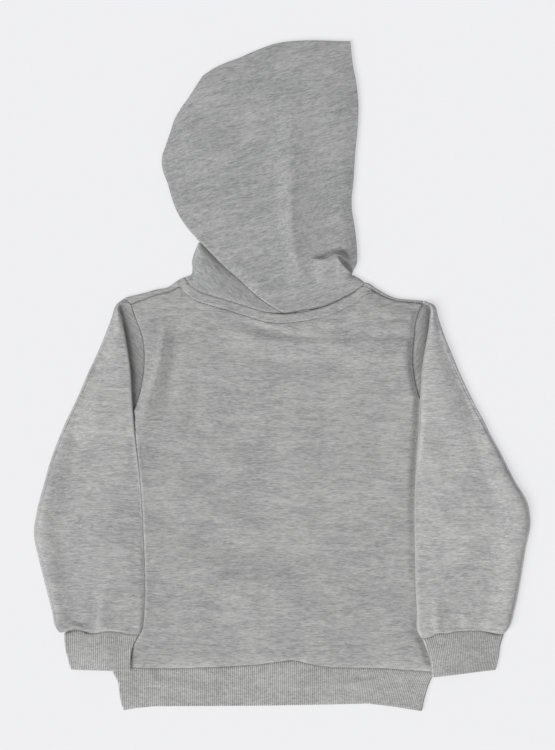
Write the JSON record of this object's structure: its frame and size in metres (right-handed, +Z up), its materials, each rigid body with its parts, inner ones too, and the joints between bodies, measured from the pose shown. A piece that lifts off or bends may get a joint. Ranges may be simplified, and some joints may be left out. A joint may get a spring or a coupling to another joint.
{
  "type": "toddler hoodie",
  "caption": "Toddler's pullover hoodie in grey marl fleece, laid flat with its back up, hood to one side and sleeves straight down.",
  "frame": {"origin": "centre of the bounding box at the surface that the garment lies on", "axes": "+Y up the garment from the hem to the hood, +X to the right as the back is looked at, +Z up from the surface"},
  "size_m": [0.4976, 0.6714, 0.0101],
  "materials": {
    "body_fleece": "matt grey marl fleece with fine horizontal streaks of lighter and darker fibre",
    "hood_fleece": "the same grey marl fleece, its streaks slanting across the hood",
    "rib_knit": "matt grey marl knitted in fine vertical ribs 2 mm apart"
  },
  "bodies": {
    "root": {"front": "body_fleece", "back": "body_fleece", "sleeve_left": "body_fleece", "sleeve_right": "body_fleece", "hood_left": "hood_fleece", "hood_right": "hood_fleece", "cuff_left": "rib_knit", "cuff_right": "rib_knit", "hem_band": "rib_knit"}
  },
  "joints": []
}
